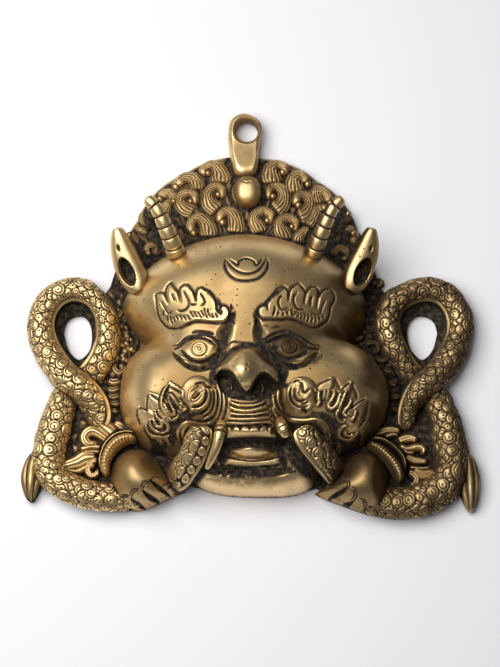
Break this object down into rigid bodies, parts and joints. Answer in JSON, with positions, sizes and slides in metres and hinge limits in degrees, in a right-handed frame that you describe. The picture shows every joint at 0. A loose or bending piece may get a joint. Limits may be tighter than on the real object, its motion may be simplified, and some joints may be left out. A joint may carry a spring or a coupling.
{
  "type": "kirtimukha mask",
  "caption": "Cast brass lion-face wall mask, hollow behind, with horns, ears, a crest of curled hair, a hanging ring and two coiled serpents held to its mouth.",
  "frame": {"origin": "middle of the overall outline, on the flat back that the mask lies on", "axes": "+X across the face, towards the right-hand side as it is looked at; +Y towards the crest and the hanging ring; +Z out of the face, straight up as it lies"},
  "size_m": [0.2548, 0.233, 0.0679],
  "materials": {
    "brass": "aged and satin, dark in the recesses and rubbed bright on the high places"
  },
  "bodies": {
    "root": {"kirtimukha_mask": "brass"}
  },
  "joints": []
}
